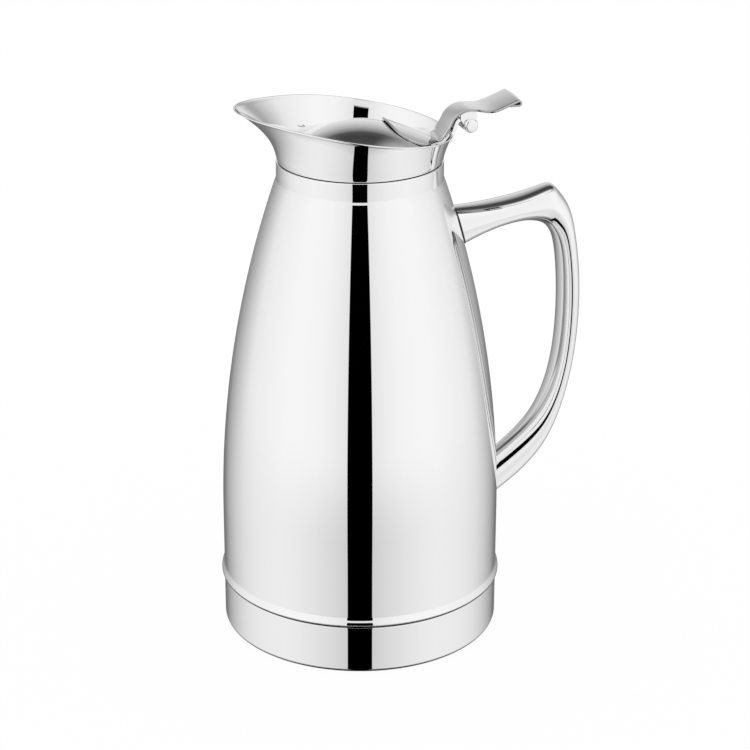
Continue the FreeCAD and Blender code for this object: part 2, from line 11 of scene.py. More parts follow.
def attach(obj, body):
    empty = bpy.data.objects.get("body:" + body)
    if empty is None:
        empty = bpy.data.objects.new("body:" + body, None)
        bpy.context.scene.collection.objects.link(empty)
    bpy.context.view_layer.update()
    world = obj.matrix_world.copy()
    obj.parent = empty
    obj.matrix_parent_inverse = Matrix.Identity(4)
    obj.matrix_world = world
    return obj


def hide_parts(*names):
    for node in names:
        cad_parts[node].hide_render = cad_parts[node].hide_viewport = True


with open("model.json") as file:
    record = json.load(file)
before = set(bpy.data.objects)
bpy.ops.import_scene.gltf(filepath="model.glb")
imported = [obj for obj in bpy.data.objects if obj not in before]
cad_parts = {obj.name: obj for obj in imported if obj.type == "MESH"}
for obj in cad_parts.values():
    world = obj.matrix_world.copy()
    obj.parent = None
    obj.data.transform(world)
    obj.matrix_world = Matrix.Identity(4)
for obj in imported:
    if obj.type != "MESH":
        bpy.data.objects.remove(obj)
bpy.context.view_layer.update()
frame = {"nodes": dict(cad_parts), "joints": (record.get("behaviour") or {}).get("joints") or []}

bl_info = {
    "name": "Insulated jug",
    "version": (1, 0, 0),
    "blender": (4, 5, 0),
    "location": "View3D > Sidebar > Jug",
    "description": "Dresses the packed jug in polished steel and sets the studio",
    "category": "Object",
}

MM = 0.001
HINGE = Vector(frame["joints"][0]["pos_m"])

# Shared by all meshes: points closer than this are one, and how a rounded corner is stepped and held
WELD = 0.004 * MM
ROUND_STEPS = 8
SUPPORT = 0.25 * MM


# Settings that a user would change


def length(name, description, millimetres):
    """Length that is written in millimetres and kept in metres."""
    return FloatProperty(name=name, description=description, unit="LENGTH", default=millimetres * MM)


def angle(name, description, radians):
    """Angle in radians."""
    return FloatProperty(name=name, description=description, subtype="ANGLE", default=radians)


def number(name, description, default):
    """Number without a unit."""
    return FloatProperty(name=name, description=description, default=default)


def share(name, description, default):
    """Number from 0 to 1."""
    return FloatProperty(
        name=name, description=description, subtype="FACTOR", min=0.0, max=1.0, default=default)


def colour(name, description, default):
    """Colour of a metal."""
    return FloatVectorProperty(
        name=name, description=description, subtype="COLOR", size=3, min=0.0, max=1.0, default=default)


class BodySettings(bpy.types.PropertyGroup):
    """Sizes of the turned body and its base"""

    radius: length("Body radius", "Outside radius of the straight lower wall", 65.0)
    straight_top: length("Straight top", "Height where the long taper begins", 56.0)
    neck: length("Neck radius", "Outside radius of the neck", 37.9)
    shoulder: length("Shoulder height", "Height where the taper runs into the neck", 219.0)
    shoulder_bend: length("Shoulder bend", "Radius of the soft bend under the neck", 0.9)
    ledge: length("Ledge", "Height of the slight ledge under the neck", 1.25)
    ledge_drop: length("Ledge drop", "How far the ledge begins below the shoulder", 1.9)
    neck_top: length("Neck height", "Height of the top edge of the neck", 226.75)
    wall: length("Wall", "Thickness of the shell and the base cup", 0.8)
    base: length("Base height", "Height of the plain band under the bead", 23.5)
    base_edge: length("Base edge", "Radius of the standing edge", 2.5)
    bead: length("Bead height", "Height of the bead above the base", 5.1)
    bead_nose: length("Bead nose", "Height of the upright part of the bead", 1.5)
    bead_proud: length("Bead reach", "How far the bead stands out from the wall", 1.25)
    spigot: length("Spigot height", "How far the shell reaches down into the cup", 9.0)
    segments: IntProperty(name="Segments", description="Faces round a turned piece", min=32, default=256)


class CollarSettings(bpy.types.PropertyGroup):
    """Sizes of the flared collar and its spout"""

    foot: length("Foot radius", "Outside radius at the joint with the neck", 37.6)
    foot_z: length("Foot height", "Height of the collar's foot", 227.0)
    foot_round: length("Foot rounding", "Height over which the foot is rolled inwards", 2.6)
    wall: length("Wall", "Thickness of the collar", 0.8)
    back_flare: length("Back flare", "How far the rim leans out at the hinge", 3.8)
    side_flare: length("Side flare", "How much more it leans out towards the spout", 4.0)
    flare_curve: number("Flare curve", "Power of the flare over the height", 1.4)
    beak: length("Beak", "How far the spout is drawn out", 12.0)
    sharpness: number("Beak sharpness", "Power that narrows the beak", 14.0)
    lift: number("Beak lift", "Power of the beak over the height", 3.0)
    rise: length("Rim rise", "Height of the rim over the body axis", 17.7)
    tilt: angle("Rim tilt", "Slope of the rim up to the spout", math.radians(8.9))


class LidSettings(bpy.types.PropertyGroup):
    """Sizes of the domed lid"""

    radius: length("Lid radius", "Outside radius of the skirt", 35.0)
    height: length("Lid height", "Height of the edge between dome and skirt", 230.1)
    skirt: length("Skirt", "Height of the skirt", 3.4)
    dome: length("Dome radius", "Radius of the ball that the dome is part of", 51.3)
    wall: length("Wall", "Thickness of the dome", 0.8)
    edge: length("Edge", "Radius of the dome's outer edge", 0.45)


class LeverSettings(bpy.types.PropertyGroup):
    """Sizes of the thumb lever"""

    thickness: length("Thickness", "Thickness of the strap", 1.0)
    edge: length("Edge", "Radius of the strap's edges", 0.32)
    strap: length("Strap width", "Width over the hinge", 14.4)
    tab: length("Tab width", "Width of the thumb tab", 21.0)
    leaf: length("Leaf width", "Width of the leaf on the dome", 32.6)
    leaf_length: length("Leaf length", "Length of the leaf in plan", 21.8)
    nose: length("Nose length", "Length of the leaf's rounded front", 9.0)
    slope: angle("Leaf slope", "Fall of the leaf towards the hinge", math.radians(22.5))


class PinSettings(bpy.types.PropertyGroup):
    """Sizes of the headed hinge pin"""

    shank: length("Shank radius", "Radius of the pin between its heads", 2.0)
    head: length("Head radius", "Radius of the two heads", 3.25)
    head_height: length("Head height", "How far a head stands out from the ear", 1.8)
    head_edge: length("Head edge", "Radius of a head's outer edge", 1.3)
    ears: length("Ear distance", "Distance of an ear's outer face from the middle", 8.2)


class HandleSettings(bpy.types.PropertyGroup):
    """Sizes of the hollow handle"""

    peak_width: length("Peak width", "Width of the tube at its highest point", 20.0)
    foot_width: length("Foot width", "Width of the tube where it meets the body below", 16.0)
    fullness: share("Fullness", "How square the oval section is", 0.62)
    sink: length("Sink", "How far the welded ends run into the shell", 0.3)


class FinishSettings(bpy.types.PropertyGroup):
    """Colours and polish of the metals"""

    steel: colour("Polished steel", "Reflected colour of the mirror polish", (0.90, 0.90, 0.905))
    polish: share("Polish", "Roughness of the mirror polish", 0.012)
    satin: colour("Satin steel", "Reflected colour of the brushed inside", (0.72, 0.72, 0.725))
    satin_roughness: share("Satin roughness", "Roughness of the brushed inside", 0.3)


class StageSettings(bpy.types.PropertyGroup):
    """Camera and table"""

    distance: length("Camera distance", "Distance from the body axis, along the table", 1025.0)
    height: length("Camera height", "Height of the camera above the table", 536.0)
    azimuth: angle("Camera azimuth", "How far the camera stands towards the spout", math.radians(16.0))
    pitch: angle("Camera pitch", "How far the camera looks down", 0.384)
    lens: FloatProperty(
        name="Lens", description="Focal length on the camera's sensor", unit="CAMERA", default=113.7)
    shift: number("Shift", "Sideways shift that puts the handle in the frame", 0.0201)
    table: length("Table size", "Side of the table top", 12000.0)


# Node helpers


def node(tree, kind, inputs=None, **values):
    """New node with attributes set; inputs maps a socket to a value or to another node's output."""
    made = tree.nodes.new(kind)
    for key, value in values.items():
        setattr(made, key, value)
    for key, value in (inputs or {}).items():
        if isinstance(value, bpy.types.NodeSocket):
            tree.links.new(value, made.inputs[key])
        else:
            made.inputs[key].default_value = value
    return made


def maths(tree, operation, *values):
    """Result of a Math node on values or sockets."""
    return node(tree, "ShaderNodeMath", dict(enumerate(values)), operation=operation).outputs[0]


def between(tree, value, low, high, kind="SMOOTHSTEP"):
    """How far a value has gone from low to high, from 0 to 1."""
    return node(tree, "ShaderNodeMapRange", {"Value": value, "From Min": low, "From Max": high},
                interpolation_type=kind).outputs["Result"]


def ramp(tree, factor, stops):
    """Grey ramp over a factor, given as (position, brightness) stops."""
    made = node(tree, "ShaderNodeValToRGB", {"Fac": factor})
    elements = made.color_ramp.elements
    while len(elements) < len(stops):
        elements.new(0.5)
    for element, (position, level) in zip(elements, stops):
        element.position = position
        element.color = (level, level, level, 1.0)
    return made.outputs["Color"]


def blend(tree, factor, first, second, mode="MIX"):
    """Colour between first and second, or their product."""
    return node(tree, "ShaderNodeMix", {0: factor, 6: first, 7: second},
                data_type="RGBA", blend_type=mode).outputs[2]


# Geometry trees that turn a profile into a piece

GEOMETRY = "NodeSocketGeometry"
PROFILE_INPUTS = (("Geometry", GEOMETRY), ("Segments", "NodeSocketInt"), ("Finish", "NodeSocketMaterial"))
# Inputs of the collar's tree and the settings that they take
COLLAR_SIZES = {
    "Foot radius": "foot", "Foot height": "foot_z", "Back flare": "back_flare", "Side flare": "side_flare",
    "Flare curve": "flare_curve", "Beak": "beak", "Beak sharpness": "sharpness", "Beak lift": "lift",
    "Rim rise": "rise"}


def new_tree(name, sizes=()):
    """Tree over a profile mesh, with its named inputs."""
    tree = bpy.data.node_groups.new(name, "GeometryNodeTree")
    for label, kind in (*PROFILE_INPUTS, *((size, "NodeSocketFloat") for size in sizes)):
        tree.interface.new_socket(label, in_out="INPUT", socket_type=kind)
    tree.interface.new_socket("Geometry", in_out="OUTPUT", socket_type=GEOMETRY)
    return tree, tree.nodes.new("NodeGroupInput").outputs


def swept_grid(tree, given):
    """Grid with a row for each profile point, the profile's position at each vertex, and its angle."""
    profile = given["Geometry"]
    size = node(tree, "GeometryNodeAttributeDomainSize", {"Geometry": profile})
    columns = maths(tree, "ADD", given["Segments"], 1.0)
    grid = node(tree, "GeometryNodeMeshGrid", {
        "Vertices X": size.outputs["Point Count"], "Vertices Y": columns})
    index = node(tree, "GeometryNodeInputIndex").outputs["Index"]
    row = maths(tree, "FLOOR", maths(tree, "DIVIDE", maths(tree, "ADD", index, 0.5), columns))
    column = maths(tree, "SUBTRACT", index, maths(tree, "MULTIPLY", row, columns))
    step = maths(tree, "DIVIDE", -2.0 * math.pi, given["Segments"])
    position = node(tree, "GeometryNodeInputPosition").outputs["Position"]
    place = node(tree, "GeometryNodeSampleIndex", {"Geometry": profile, "Value": position, "Index": row},
                 data_type="FLOAT_VECTOR", domain="POINT")
    point = node(tree, "ShaderNodeSeparateXYZ", {"Vector": place.outputs["Value"]})
    return grid.outputs["Mesh"], point.outputs, maths(tree, "MULTIPLY", column, step)


def close_tree(tree, given, mesh, x, y, z):
    """Moves the grid into place, closes its seams and gives it its finish."""
    place = node(tree, "ShaderNodeCombineXYZ", {"X": x, "Y": y, "Z": z}).outputs["Vector"]
    for kind, inputs in (
            ("GeometryNodeSetPosition", {"Position": place}),
            ("GeometryNodeMergeByDistance", {"Distance": WELD}),
            ("GeometryNodeSetShadeSmooth", {}),
            ("GeometryNodeRealizeInstances", {}),
            ("GeometryNodeSetMaterial", {"Material": given["Finish"]})):
        mesh = node(tree, kind, {"Geometry": mesh, **inputs}).outputs["Geometry"]
    node(tree, "NodeGroupOutput", {"Geometry": mesh})


def turned_tree():
    """Turns a profile of radius and height round the body axis."""
    tree, given = new_tree("turned")
    mesh, point, turn = swept_grid(tree, given)
    x = maths(tree, "MULTIPLY", point["X"], maths(tree, "COSINE", turn))
    y = maths(tree, "MULTIPLY", point["X"], maths(tree, "SINE", turn))
    close_tree(tree, given, mesh, x, y, point["Z"])
    return tree


def collar_tree():
    """Flares a wall section of inset, drop and level round the axis and draws out the beak."""
    tree, given = new_tree("flared_collar", (*COLLAR_SIZES, "Rim slope"))
    mesh, point, turn = swept_grid(tree, given)
    cosine = maths(tree, "COSINE", turn)
    towards = maths(tree, "MULTIPLY_ADD", cosine, -0.5, 0.5)
    lean = maths(tree, "MULTIPLY_ADD", towards, given["Side flare"], given["Back flare"])
    flare = maths(tree, "MULTIPLY", lean, maths(tree, "POWER", point["Z"], given["Flare curve"]))
    drawn = maths(tree, "MULTIPLY", maths(tree, "POWER", towards, given["Beak sharpness"]),
                  maths(tree, "POWER", point["Z"], given["Beak lift"]))
    radius = maths(tree, "ADD", given["Foot radius"], flare)
    radius = maths(tree, "SUBTRACT", maths(tree, "MULTIPLY_ADD", drawn, given["Beak"], radius), point["X"])
    x = maths(tree, "MULTIPLY", radius, cosine)
    y = maths(tree, "MULTIPLY", radius, maths(tree, "SINE", turn))
    rise = maths(tree, "SUBTRACT", given["Rim rise"], maths(tree, "MULTIPLY", x, given["Rim slope"]))
    z = maths(tree, "MULTIPLY_ADD", point["Z"], rise, given["Foot height"])
    close_tree(tree, given, mesh, x, y, maths(tree, "SUBTRACT", z, point["Y"]))
    return tree


def linked(name, data):
    """Object for a mesh or a camera, in the scene."""
    made = bpy.data.objects.new(name, data)
    bpy.context.scene.collection.objects.link(made)
    return made


def profile_piece(name, points, tree, values):
    """Piece that a tree makes from a run of profile points."""
    data = bpy.data.meshes.new(name)
    data.from_pydata(points, [(k, k + 1) for k in range(len(points) - 1)], [])
    piece = linked(name, data)
    modifier = piece.modifiers.new(tree.name, "NODES")
    modifier.node_group = tree
    for item in tree.interface.items_tree:
        if item.in_out == "INPUT" and item.name in values:
            modifier[item.identifier] = values[item.name]
    graph = bpy.context.evaluated_depsgraph_get()
    made = bpy.data.meshes.new_from_object(piece.evaluated_get(graph))
    piece.modifiers.clear()
    piece.data = made
    made.name = name
    bpy.data.meshes.remove(data)
    return piece


def settle(piece, body, *nodes):
    """Puts a finished piece on its body in place of the nodes that it stands for."""
    if len(piece.data.polygons) == 0:
        raise RuntimeError(piece.name + " has no faces")
    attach(piece, body)
    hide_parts(*nodes)


# Profiles


def rounded(*corners):
    """Run of points through corners (across, up, radius); an arc has a point to hold it at each end."""
    run = []
    for index, (across, up, radius) in enumerate(corners):
        here = Vector((across, up))
        if radius <= 0.0:
            run.append(here)
            continue
        before = (here - Vector(corners[index - 1][:2])).normalized()
        after = (Vector(corners[index + 1][:2]) - here).normalized()
        turn = before.angle_signed(after)
        reach = radius * math.tan(abs(turn) / 2.0)
        start, end = here - before * reach, here + after * reach
        inward = (after - before).normalized()
        centre = here + inward * (radius / math.cos(turn / 2.0))
        run.append(start - before * SUPPORT)
        for step in range(ROUND_STEPS + 1):
            spoke = start - centre
            spoke.rotate(Matrix.Rotation(-turn * step / ROUND_STEPS, 2))
            run.append(centre + spoke)
        run.append(end + after * SUPPORT)
    return run


def arc(centre, radius, start, end, steps):
    """Points of an arc between two angles, measured from straight out."""
    turns = [start + (end - start) * k / steps for k in range(steps + 1)]
    return [(centre[0] + radius * math.cos(a), centre[1] + radius * math.sin(a)) for a in turns]


def upright(points):
    """Profile points of radius and height, set up in the plane of the spout."""
    return [(p[0], 0.0, p[1]) for p in points]


# Turned pieces: shell, base and lid

BEAD_EDGE = 1.4 * MM
NECK_EDGE = 0.35 * MM
CUP_EDGE = 0.6 * MM
SPIGOT_FIT = 0.05 * MM
RECESS = 2.5 * MM
RING_WIDTH = 10.1 * MM
LEDGE_BEND = 4.0 * MM
TAPER_STEPS = 60
SWEEP_STEPS = 10
DOME_STEPS = 36
INNER_DOME_STEPS = 24


def taper(settings):
    """Centre and radius of the arc that the long taper follows."""
    rise = settings.shoulder - settings.straight_top
    inward = settings.radius - settings.neck
    radius = (rise ** 2 + inward ** 2) / (2.0 * inward)
    return Vector((settings.radius - radius, settings.straight_top)), radius


def body_radius(settings, height):
    """Outside radius of the body at a height above the bead."""
    centre, radius = taper(settings)
    if height <= settings.straight_top:
        return settings.radius
    return max(settings.neck, centre[0] + math.sqrt(max(radius ** 2 - (height - centre[1]) ** 2, 0.0)))


def shell_profile(settings):
    """Spigot, bead, straight wall, long taper, ledge and neck, and back down inside."""
    wall, base = settings.wall, settings.base
    nose_r = settings.radius + settings.bead_proud
    low = base + settings.bead_nose
    high = base + settings.bead
    rise = high - low
    bend = (settings.bead_proud ** 2 + rise ** 2) / (4.0 * settings.bead_proud)
    turn = 2.0 * math.atan2(settings.bead_proud, rise)
    spigot_r = settings.radius - wall - SPIGOT_FIT
    spigot_z = base - settings.spigot
    neck_in = settings.neck - wall
    centre, radius = taper(settings)
    inner = radius - wall
    ledge_z = settings.shoulder - settings.ledge_drop
    last = math.asin((ledge_z - settings.ledge - centre[1]) / radius)
    run = rounded((spigot_r, spigot_z, 0), (spigot_r, base, 0), (nose_r, base, BEAD_EDGE), (nose_r, low, 0))
    run += arc((nose_r - bend, low), bend, 0.0, turn, SWEEP_STEPS)[1:]
    run += arc((settings.radius + bend, high), bend, math.pi + turn, math.pi, SWEEP_STEPS)[1:]
    run.append((settings.radius, high + SUPPORT))
    run += arc(centre, radius, 0.0, last, TAPER_STEPS)
    run += rounded((*run[-1], 0), (body_radius(settings, ledge_z), ledge_z, LEDGE_BEND),
                   (settings.neck, ledge_z + settings.ledge, settings.shoulder_bend),
                   (settings.neck, settings.neck_top, NECK_EDGE), (neck_in, settings.neck_top, 0))[1:]
    run += arc(centre, inner, math.acos((neck_in - centre[0]) / inner), 0.0, TAPER_STEPS // 2)
    run += [(settings.radius - wall, high), (nose_r - wall, low), (spigot_r - wall, base - wall),
            (spigot_r - wall, spigot_z), (spigot_r, spigot_z)]
    return upright(run)


def cup_profile(settings):
    """Recess, standing ring and plain band, and back down inside."""
    wall, base = settings.wall, settings.base
    ring_in = settings.radius - settings.base_edge - RING_WIDTH
    inside = settings.radius - wall
    mitre = wall * (math.sqrt(2.0) - 1.0)
    return upright(rounded(
        (0, RECESS, 0), (ring_in - RECESS, RECESS, wall), (ring_in, 0, wall),
        (settings.radius, 0, settings.base_edge), (settings.radius, base, CUP_EDGE),
        (inside, base, 0), (inside, wall, 0), (ring_in + mitre, wall, 0),
        (ring_in + mitre - RECESS, RECESS + wall, 0), (0, RECESS + wall, 0)))


def dome_centre(settings):
    """Height of the middle of the ball that the dome is part of."""
    return settings.height - math.sqrt(settings.dome ** 2 - settings.radius ** 2)


def lid_profile(settings):
    """Inside of the dome, skirt, and outside of the dome."""
    centre = (0.0, dome_centre(settings))
    inner_r = settings.radius - settings.wall
    inner_dome = settings.dome - settings.wall
    bottom = settings.height - settings.skirt
    edge = math.acos(settings.radius / settings.dome)
    dome = arc(centre, settings.dome, edge, math.pi / 2.0, DOME_STEPS)
    run = arc(centre, inner_dome, math.pi / 2.0, math.acos(inner_r / inner_dome), INNER_DOME_STEPS)
    run += rounded((inner_r, bottom, 0), (settings.radius, bottom, settings.edge / 2.0),
                   (settings.radius, settings.height, settings.edge), (*dome[1], 0))
    return upright(run + dome[2:])


class JUG_OT_turned(bpy.types.Operator):
    """Shell, base cup and domed lid, turned from their profiles"""

    bl_idname = "jug.turned"
    bl_label = "Turned shell, base and lid"

    def execute(self, context):
        body, lid = context.scene.jug_body, context.scene.jug_lid
        # The shell's finish has painted shade under the bead, and the cup's has it at its standing edge
        for name, profile, steel, carrier, replaced in (
                ("body_wall", shell_profile(body), "steel_shell_painted_shade", "jug", "outer_shell"),
                ("base_band", cup_profile(body), "steel_cup_painted_shade", "jug", "base_cup"),
                ("lid_top", lid_profile(lid), "mirror_steel", "lid", "lid_dome")):
            values = {"Segments": body.segments, "Finish": finish(steel)}
            settle(profile_piece(name, profile, turned_tree(), values), carrier, replaced)
        return {"FINISHED"}


# Flared collar with the drawn-out spout

SKIRT_INSET = 0.55 * MM
THROAT_INSET = 1.35 * MM
SEAT_INSET = 4.5 * MM
SEAT_DROP = 5.7 * MM
WALL_STEPS = 30
LIP_STEPS = 10


def collar_profile(settings):
    """Closed section of the collar, each point as inset from the outside, drop, and level up the wall."""
    wall = settings.wall
    lip = wall / 2.0
    foot_level = settings.foot_round / settings.rise
    top_level = 1.0 - 2.0 * lip / settings.rise
    seat_top = SEAT_DROP - wall
    quarter = [math.pi / 2.0 * step / ROUND_STEPS for step in range(ROUND_STEPS + 1)]
    run = [(SKIRT_INSET, SEAT_DROP, 0.0)]
    for turn in quarter:
        run.append((SKIRT_INSET * (1.0 - math.sin(turn)), 0.0, foot_level * (1.0 - math.cos(turn))))
    for step in range(1, WALL_STEPS + 1):
        run.append((0.0, 0.0, foot_level + (top_level - foot_level) * step / WALL_STEPS))
    for step in range(LIP_STEPS + 1):
        turn = math.pi * step / LIP_STEPS
        run.append((lip - lip * math.cos(turn), lip - lip * math.sin(turn), 1.0))
    for step in range(WALL_STEPS + 1):
        run.append((wall, 0.0, top_level + (foot_level - top_level) * step / WALL_STEPS))
    run += [(wall, 0.0, foot_level / 2.0), (THROAT_INSET, 0.0, foot_level / 4.0)]
    for turn in quarter:
        inset = THROAT_INSET + wall * (1.0 - math.cos(turn))
        run.append((inset, seat_top - wall * (1.0 - math.sin(turn)), 0.0))
    return run + [(SEAT_INSET, seat_top, 0.0), (SEAT_INSET, SEAT_DROP, 0.0), (SKIRT_INSET, SEAT_DROP, 0.0)]


class JUG_OT_collar(bpy.types.Operator):
    """Flared collar with its rolled foot, round lip and spout"""

    bl_idname = "jug.collar"
    bl_label = "Spout collar"

    def execute(self, context):
        settings = context.scene.jug_collar
        values = {label: getattr(settings, key) for label, key in COLLAR_SIZES.items()}
        values["Rim slope"] = math.tan(settings.tilt)
        values["Segments"] = context.scene.jug_body.segments * 3 // 2
        # The collar's finish has painted shade at its foot, in the joint with the neck
        values["Finish"] = finish("steel_collar_painted_shade")
        settle(profile_piece("pouring_collar", collar_profile(settings), collar_tree(), values),
               "jug", "spout_collar")
        return {"FINISHED"}


# Curves and meshes of the handle, the lever and the pin

CUBIC = 3


def spline_point(poles, at):
    """Point of a clamped cubic spline with evenly spaced knots, by de Boor's rule."""
    spans = len(poles) - CUBIC
    ends = CUBIC + 1
    knots = [0.0] * ends + [float(k) for k in range(1, spans)] + [float(spans)] * ends
    cell = min(int(at), spans - 1) + CUBIC
    points = [poles[cell - CUBIC + k].copy() for k in range(ends)]
    for depth in range(1, ends):
        for k in range(CUBIC, depth - 1, -1):
            low = knots[cell - CUBIC + k]
            part = (at - low) / (knots[cell + 1 + k - depth] - low)
            points[k] = points[k - 1].lerp(points[k], part)
    return points[CUBIC]


def bezier(poles, t):
    """Point of a flat cubic curve over four poles."""
    weights = ((1 - t) ** 3, 3 * t * (1 - t) ** 2, 3 * t * t * (1 - t), t ** 3)
    return [sum(w * p[k] for w, p in zip(weights, poles)) for k in (0, 1)]


def ease(value):
    """Value held between 0 and 1, with a soft start and a soft end."""
    value = min(max(value, 0.0), 1.0)
    return value * value * (3.0 - 2.0 * value)


def bridge(made, rings):
    """Joins each closed ring of vertices to the next one; gives the bands of faces in order."""
    bands = []
    for low, high in zip(rings, rings[1:]):
        pairs = [(k, (k + 1) % len(low)) for k in range(len(low))]
        bands.append([made.faces.new((low[k], high[k], high[after], low[after])) for k, after in pairs])
    return bands


def mesh_piece(name, made, *materials):
    """Piece from a bmesh, with its faces turned outwards and smooth."""
    bmesh.ops.recalc_face_normals(made, faces=made.faces)
    data = bpy.data.meshes.new(name)
    made.to_mesh(data)
    made.free()
    data.shade_smooth()
    for material in materials:
        data.materials.append(material)
    return linked(name, data)


# Hollow handle

# Outline of the handle in the plane of the spout at each section, in millimetres: outside, then inside
HANDLE_SECTIONS = (
    ((30.0, 200.1), (30.0, 172.3)), ((47.0, 200.4), (46.0, 181.6)), ((60.5, 200.8), (60.0, 188.6)),
    ((76.8, 203.3), (75.5, 192.0)), ((85.2, 205.7), (83.6, 191.0)), ((90.4, 207.3), (87.5, 189.4)),
    ((92.4, 207.3), (89.1, 188.2)), ((93.6, 206.3), (90.3, 187.2)), ((97.2, 202.0), (92.0, 185.0)),
    ((100.6, 196.8), (93.8, 182.0)), ((103.3, 186.6), (95.9, 175.3)), ((106.6, 163.9), (97.4, 161.0)),
    ((106.9, 139.8), (97.9, 140.1)), ((103.9, 112.4), (96.0, 117.2)), ((96.6, 86.6), (89.9, 98.4)),
    ((86.4, 68.9), (79.5, 84.7)), ((68.0, 54.9), (61.2, 71.0)), ((47.0, 43.2), (45.2, 59.2)))
HANDLE_AROUND = 96
HANDLE_ALONG = 260
WELD_SHARE = 0.0024
HALVINGS = 40


def oval_point(outside, inside, half_width, fullness, turn):
    """Point of the oval section at a turn from 0, the outside, through 1 and 2, the inside, to 4."""
    quarter = min(int(turn), 3)
    poles = [(1.0, 0.0), (1.0, fullness), (fullness, 1.0), (0.0, 1.0)]
    if quarter % 2:
        poles = [(-out, side) for out, side in reversed(poles)]
    out, side = bezier(poles, turn - quarter)
    if quarter >= 2:
        out, side = -out, -side
    middle = (outside + inside) / 2.0
    reach = (outside - inside) / 2.0
    return Vector((middle[0] + reach[0] * out, side * half_width, middle[1] + reach[1] * out))


def handle_lines(settings):
    """Poles of the lengthwise lines of the tube, one line for each point round the oval."""
    sections = [(Vector(a) * MM, Vector(b) * MM) for a, b in HANDLE_SECTIONS]
    foot = sections[-1][0][1]
    peak = max(outside[1] for outside, inside in sections)
    lines = []
    for k in range(HANDLE_AROUND):
        turn = 4.0 * k / HANDLE_AROUND
        line = []
        for outside, inside in sections:
            level = ((outside[1] + inside[1]) / 2.0 - foot) / (peak - foot)
            width = settings.foot_width + (settings.peak_width - settings.foot_width) * level
            line.append(oval_point(outside, inside, width / 2.0, settings.fullness, turn))
        lines.append(line)
    return lines


def crossing(line, body, sink, start, end):
    """Where a lengthwise line of the handle dives under the skin of the body, between two of its places."""
    for _ in range(HALVINGS):
        middle = (start + end) / 2.0
        point = spline_point(line, middle)
        if math.hypot(point.x, point.y) < body_radius(body, point.z) - sink:
            start = middle
        else:
            end = middle
    return end


def handle_mesh(settings, body):
    """Tube over the lengthwise lines, closed inside the shell, with a narrow band of painted shade along
    each weld.
    """
    spans = len(HANDLE_SECTIONS) - float(CUBIC)
    steps = [k / HANDLE_ALONG for k in range(1, HANDLE_ALONG)]
    shares = [0.0, WELD_SHARE] + steps + [1.0 - WELD_SHARE, 1.0]
    made = bmesh.new()
    rings = [[] for _ in shares]
    for line in handle_lines(settings):
        first = crossing(line, body, settings.sink, 0.0, spans / 2.0)
        last = crossing(line, body, settings.sink, spans, spans / 2.0)
        for part, ring in zip(shares, rings):
            ring.append(made.verts.new(spline_point(line, first + (last - first) * part)))
    bands = bridge(made, rings)
    # The bands at the welds take painted shade, in the crease where the tube meets the body
    for face in bands[0] + bands[-1]:
        face.material_index = 1
    for ring in (rings[0], rings[-1]):
        centre = made.verts.new(sum((v.co for v in ring), Vector()) / HANDLE_AROUND)
        for k in range(HANDLE_AROUND):
            made.faces.new((ring[k], ring[(k + 1) % HANDLE_AROUND], centre))
    return made


class JUG_OT_handle(bpy.types.Operator):
    """Hollow handle, a smooth oval tube welded to the body at both ends"""

    bl_idname = "jug.handle"
    bl_label = "Hollow handle"

    def execute(self, context):
        made = handle_mesh(context.scene.jug_handle, context.scene.jug_body)
        tube = mesh_piece("grip_tube", made, finish("mirror_steel"), finish("weld_painted_shade"))
        settle(tube, "jug", "handle_left", "handle_right")
        return {"FINISHED"}


# Thumb lever

# Corners of the bent strap from the hinge, in the plane of the spout, and the radii of its bends
CREASE_LOW = Vector((-11.4, -2.6)) * MM
CREASE_HIGH = Vector((-10.1, -0.6)) * MM
HUMP = Vector((-5.7, 8.1)) * MM
HUMP_R = 9.8 * MM
VALLEY = Vector((9.8, 6.2)) * MM
VALLEY_R = 16.0 * MM
CREASE_HALF = 0.12 * MM
TAB_ANGLE = math.radians(21.2)
TAB_LENGTH = 12.5 * MM
CURL_R = 1.9 * MM
CURL_TURN = math.radians(101.0)
CURL_TAIL = 4.2 * MM

# Plan of the leaf, and how the strap widens to the tab
LEAF_MARGIN = 0.6 * MM
LEAF_BEND_OUT = 1.3 * MM
LEAF_BEND_R = 2.2 * MM
NOSE_FULLNESS = 0.78
CHEEK = 0.6
FLARE_START = 2.5 * MM
FLARE_LENGTH = 9.0 * MM

# Crown across the strap, and the length over which the leaf's ball runs into it
CROWN_R = 140.0 * MM
CROWN_FADE = 2.2 * MM

# Fineness of the lever's mesh
RUN_STEP = 0.8 * MM
ARC_STEP = math.radians(5.0)
NOSE_STEPS = 36
BACK_STEPS = 24
END_STEPS = 24
EDGE_STEPS = 4
FILL_STEP = 0.9 * MM
FILL_CLEAR = 0.45 * FILL_STEP
FILL_CLOSE = 1e-5


